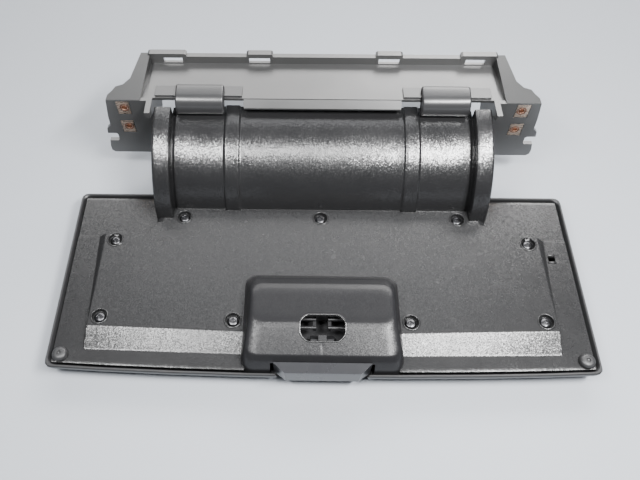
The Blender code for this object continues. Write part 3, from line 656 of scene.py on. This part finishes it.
# %% Hooks
def guide_hook(side, node):
    """The side view (y, z) pushed across in slices, drawn in at both ends along a quarter circle."""
    base_z = 88.3
    corners = np.array([(10, base_z), (-1, base_z), (-1, 76.6), (-1.6, 76.1), (-5.6, 76), (-6.4, 76.4),
                        (-7.6, 77.8), (-8.3, 79.6), (-8.6, 82), (-8.5, 84.6), (-8.0, 86.8), (-7.1, 88.8),
                        (-5.8, 90.5), (-4.2, 91.8), (-2.2, 92.7), (0, 93.2), (3, 93.6), (6, 93.9),
                        (8.4, 93.9), (9.4, 93.7), (9.9, 93.2)])
    along = np.roll(corners, -1, axis=0) - np.roll(corners, 1, axis=0)
    inward = -np.stack([along[:, 1], -along[:, 0]], -1) / np.linalg.norm(along, axis=1)[:, None]
    area = np.sum(corners[:, 0] * np.roll(corners[:, 1], -1) - np.roll(corners[:, 0], -1) * corners[:, 1])
    inward *= 1 if area > 0 else -1
    low, high, radius = 79.4, 118.4, 1.8
    slices = []
    for x in ruled([low, low + radius, high - radius, high], 9, [(low, radius, 0.3), (high, radius, 0.3)]):
        into = radius - min(x - low, high - x, radius)
        draw = radius - np.sqrt(max(radius ** 2 - into ** 2, 0))
        slices.append([(side * x, *p) for p in corners + draw * inward])
    hook = sliced(node + "_nose", slices, hook_plastic, "bracket", 45)
    base_x = (side * 65, side * 135.6)
    base = box_piece(node + "_base", base_x, (1.5, 12.5), (base_z, 89.5), hook_plastic, "bracket")
    for piece in (hook, base):
        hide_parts(node)


def box_piece(name, x, y, z, finish, body, edge=0.35):
    """A plain bar with rounded edges."""
    (x0, x1), (y0, y1), (z0, z1) = sorted(x), y, z
    points = [(a, b, c) for c in (z0, z1) for b in (y0, y1) for a in (x0, x1)]
    faces = [(0, 2, 3, 1), (4, 5, 7, 6), (0, 1, 5, 4), (2, 6, 7, 3), (0, 4, 6, 2), (1, 3, 7, 5)]
    piece = new_piece(name, points, faces, finish, body)
    rounding = piece.modifiers.new("edges", "BEVEL")
    rounding.width = edge * MM
    rounding.segments = 3
    rounding.harden_normals = True
    return piece


guide_hook(1, "guide_hook_right")
guide_hook(-1, "guide_hook_left")

# %% [markdown]
# ## Pieces that keep the frame's shape
#
# Where the frame already has the right shape, a copy of it is enough, but with real edges: a moulding
# never has a sharp one. The copy is merged, its flat regions are cleaned, and a small bevel rounds
# every edge that is sharp enough. The pins, bushes and spring stay as the frame has them, with a new finish.


# %% Softened copies
def softened(node, finish, width=0.35, segments=2, angle=32):
    """A copy of a frame node with rounded edges, which stands for the node."""
    source = frame["nodes"][node]
    mesh = source.data.copy()
    bm = bmesh.new()
    bm.from_mesh(mesh)
    bmesh.ops.remove_doubles(bm, verts=bm.verts, dist=5e-6)
    bmesh.ops.dissolve_limit(bm, angle_limit=radians(0.6), verts=bm.verts, edges=bm.edges)
    bm.to_mesh(mesh)
    bm.free()
    mesh.materials.clear()
    mesh.materials.append(finish)
    piece = bpy.data.objects.new(node + "_soft", mesh)
    bpy.context.scene.collection.objects.link(piece)
    bevel = piece.modifiers.new("edges", "BEVEL")
    bevel.width = width * MM
    bevel.segments = segments
    bevel.limit_method = "ANGLE"
    bevel.angle_limit = radians(angle)
    bevel.harden_normals = True
    bevel.use_clamp_overlap = True
    mesh.shade_smooth()
    piece.modifiers.new("flat faces", "WEIGHTED_NORMAL").keep_sharp = True
    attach(piece, body_of_node[node])
    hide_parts(node)
    return piece


for node, finish in {
    "dash_bracket": bracket_plastic, "outer_skin": skin_plastic,
    "pull_handle": handle_plastic, "latch_housing": latch_plastic, "latch_bolt": latch_plastic,
}.items():
    softened(node, finish)

for node, finish in {
    "hinge_pin_": pin_steel, "hinge_bush_": acetal,
    "handle_pivot_pin": pin_steel, "handle_spring": pin_steel,
}.items():
    for name, item in frame["nodes"].items():
        if name.startswith(node):
            item.data.materials.clear()
            item.data.materials.append(finish)

# %% [markdown]
# ## Clip nuts
#
# Each nut keeps its sheet from the frame, with small round edges, and gets the drawn rim of its thread:
# a ring turned about the hole, in the nut's copper painted darker as painted shade in the hole.


# %% Nut rims
def thread_rim(node, centre):
    """A closed ring round the hole, from its raised lip down the cone to the thread."""
    section = [(3.95, -2.65), (3.8, -2.85), (3.45, -2.95), (3.1, -2.9), (2.75, -2.6), (2.35, -1.9),
               (2.2, -1.2), (2.2, 1.5), (2.6, 1.5), (2.7, -1.9), (3.6, -2.3)]
    sides = 36
    angle = 2 * np.pi * np.arange(sides) / sides
    slices = [
        np.stack([centre[0] + r * np.cos(angle), np.full(sides, y), centre[1] + r * np.sin(angle)], -1)
        for r, y in section]
    faces = ring_quads(len(section), sides)
    rim = new_piece(node + "_rim", np.concatenate(slices), faces, thread_painted_shade_copper, "bracket", 40)
    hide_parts(node)


RIM_INWARD = 0.6
for side, word in ((1, "right"), (-1, "left")):
    for x, z, place_word in ((162.0, 79.2, "upper"), (162.6, 57.8, "lower")):
        node = f"clip_nut_{place_word}_{word}"
        softened(node, nut_copper, 0.3, 2)
        thread_rim(node, (side * (x - RIM_INWARD), z))

# %% [markdown]
# ## Stage, light and camera
#
# A pale floor and soft lamps. Three narrow strips hang side by side above the front, the right one the
# strongest: they draw the band of light along the drum and on the panel's front slope. Two windows at the
# rear light the bracket's floor, more on the right, and a weak ceiling lamp lights the panel.


# %% Floor
def floor_finish():
    """One plain matt finish."""
    made = bpy.data.materials.new("studio floor")
    made.use_nodes = True
    shader = made.node_tree.nodes["Principled BSDF"]
    shader.inputs["Base Color"].default_value = (0.34, 0.36, 0.39, 1)
    shader.inputs["Roughness"].default_value = 0.75
    return made


FLOOR_DROP = 0.0004
bpy.ops.mesh.primitive_plane_add(size=8, location=(0, 0, -FLOOR_DROP))
studio_floor = bpy.context.object
studio_floor.name = "studio_floor"
studio_floor.data.materials.append(floor_finish())

world = bpy.data.worlds.new("studio")
bpy.context.scene.world = world
world.use_nodes = True
world.node_tree.nodes["Background"].inputs["Color"].default_value = (0.86, 0.91, 1.0, 1)
world.node_tree.nodes["Background"].inputs["Strength"].default_value = 0.14


# %% Lamps
def lamp(name, place, aim, size, power, colour=(1, 1, 1)):
    """A rectangular area lamp at place that looks at aim, all in metres, with its power in watts."""
    data = bpy.data.lights.new(name, "AREA")
    data.shape = "RECTANGLE"
    data.size, data.size_y = size
    data.energy = power
    data.color = colour
    made = bpy.data.objects.new(name, data)
    bpy.context.scene.collection.objects.link(made)
    made.location = place
    made.rotation_euler = (Vector(aim) - Vector(place)).to_track_quat("-Z", "Y").to_euler()
    return made


lamp("strip left", (-0.29, -0.22, 0.66), (-0.1, -0.05, 0.03), (0.28, 0.07), 5.6)
lamp("strip middle", (0.0, -0.22, 0.66), (0.0, -0.05, 0.03), (0.30, 0.07), 2.6)
lamp("strip right", (0.31, -0.22, 0.66), (0.1, -0.05, 0.03), (0.32, 0.07), 14.0)
lamp("rear window", (0.0, 1.15, 0.98), (0, 0.05, 0.08), (2.0, 0.6), 25, (1.0, 0.99, 0.98))
lamp("rear window right", (0.55, 1.15, 0.98), (0.1, 0.05, 0.08), (0.8, 0.5), 11, (1.0, 0.99, 0.98))
lamp("rear ceiling", (0.0, 0.66, 1.23), (0, -0.05, 0.03), (1.2, 0.3), 3.0, (0.97, 0.98, 1.0))

# %% Camera
LENS_PIXELS, SENSOR_MM, IMAGE_WIDTH = 620, 36.0, 640
camera_data = bpy.data.cameras.new("camera")
camera_data.lens = LENS_PIXELS * SENSOR_MM / IMAGE_WIDTH
camera_data.sensor_width = SENSOR_MM
camera = bpy.data.objects.new("camera", camera_data)
bpy.context.scene.collection.objects.link(camera)
DOWN, YAW, ROLL = 57.11, 1.41, -0.53
camera_data.shift_x = 0.048
camera.matrix_world = (
    Matrix.Translation(Vector(metres((-18.77, -365.95, 445.03))))
    @ Matrix.Rotation(radians(YAW), 4, "Z")
    @ Matrix.Rotation(radians(90 - DOWN), 4, "X")
    @ Matrix.Rotation(radians(ROLL), 4, "Z")
)
bpy.context.scene.camera = camera
